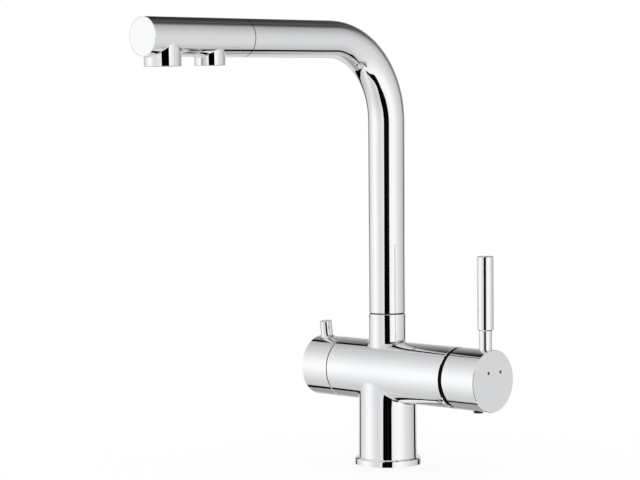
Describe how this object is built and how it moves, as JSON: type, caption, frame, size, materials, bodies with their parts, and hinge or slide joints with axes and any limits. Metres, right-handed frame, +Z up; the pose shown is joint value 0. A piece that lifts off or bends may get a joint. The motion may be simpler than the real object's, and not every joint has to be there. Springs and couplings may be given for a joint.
{
  "type": "three way filtered water tap",
  "caption": "Chromed kitchen tap with a swivel L spout, a single lever mixer on one side of its barrel, a filtered water handle on the other and separate outlets for tap and filtered water.",
  "frame": {"origin": "centre of the base ring's underside, on the sink top", "axes": "+Z up, +X along the barrel towards the mixer handle, -Y along the spout towards the user"},
  "size_m": [0.1765, 0.2762, 0.3415],
  "materials": {
    "polished_chrome": "mirror polished chrome plating",
    "bare_brass": "machined brass",
    "screw_steel": "plain stainless steel",
    "white_ceramic": "lapped alumina ceramic",
    "cartridge_plastic": "moulded acetal",
    "pipe_plastic": "smooth polyethylene",
    "dark_plastic": "black moulded plastic",
    "black_rubber": "moulded nitrile rubber"
  },
  "bodies": {
    "tap_body": {"body_casting": "polished_chrome", "base_ring": "polished_chrome", "base_seal": "black_rubber", "cartridge_base": "cartridge_plastic", "cartridge_base_seals": "black_rubber", "fixed_ceramic_disc": "white_ceramic", "cartridge_housing": "cartridge_plastic", "cartridge_lock_nut": "bare_brass", "cartridge_dome_cover": "dark_plastic", "filter_valve_body": "bare_brass", "filter_valve_seal": "black_rubber", "filter_fixed_disc": "white_ceramic", "spout_slip_washer": "dark_plastic", "spout_retaining_screw": "screw_steel"},
    "mixer_turret": {"cartridge_turret": "cartridge_plastic", "pivot_pin": "screw_steel"},
    "mixer_disc": {"moving_ceramic_disc": "white_ceramic", "disc_carrier": "cartridge_plastic"},
    "mixer_lever": {"cartridge_stem": "bare_brass", "mixer_handle_cap": "polished_chrome", "lever_rod": "polished_chrome", "mixer_grub_screw": "screw_steel", "mixer_screw_plug": "dark_plastic", "mixer_indicator_dots": "dark_plastic"},
    "filter_handle": {"filter_handle_cap": "polished_chrome", "filter_valve_spindle": "bare_brass", "spindle_o_rings": "black_rubber", "filter_moving_disc": "white_ceramic", "filter_grub_screw": "screw_steel"},
    "spout": {"spout_tube": "polished_chrome", "spout_connector": "bare_brass", "spout_slip_rings": "pipe_plastic", "spout_o_rings": "black_rubber", "filtered_water_pipe": "pipe_plastic", "filtered_pipe_ferrule": "bare_brass", "filtered_pipe_o_ring": "black_rubber", "spout_head": "polished_chrome", "head_end_cap": "polished_chrome", "head_connector": "bare_brass", "head_connector_o_ring": "black_rubber", "head_seam_ring": "dark_plastic", "filtered_outlet_elbow": "bare_brass", "elbow_o_ring": "black_rubber", "tap_aerator_housing": "polished_chrome", "tap_aerator_insert": "cartridge_plastic", "tap_aerator_washer": "black_rubber", "filter_aerator_housing": "polished_chrome", "filter_aerator_insert": "cartridge_plastic", "filter_aerator_washer": "black_rubber"}
  },
  "joints": [
    {"name": "mixer_temperature", "type": "hinge", "parent": "tap_body", "child": "mixer_turret", "pos_m": [0.066, 0, 0.072], "axis": [1, 0, 0], "range_deg": [-45, 45]},
    {"name": "mixer_flow", "type": "hinge", "parent": "mixer_turret", "child": "mixer_lever", "pos_m": [0.066, 0, 0.072], "axis": [0, 1, 0], "range_deg": [0, 12]},
    {"name": "mixer_disc_slide", "type": "slide", "parent": "mixer_turret", "child": "mixer_disc", "axis": [0, 0, 1], "range_m": [0, 0.0034]},
    {"name": "filter_valve_turn", "type": "hinge", "parent": "tap_body", "child": "filter_handle", "pos_m": [-0.05, 0, 0.072], "axis": [1, 0, 0], "range_deg": [-7, 83]},
    {"name": "spout_swivel", "type": "hinge", "parent": "tap_body", "child": "spout", "pos_m": [0, 0, 0.1], "axis": [0, 0, 1], "range_deg": [-110, 110]}
  ],
  "couplings": [
    {"joint": "mixer_disc_slide", "follows": "mixer_flow", "m_per_rad": 0.016}
  ]
}
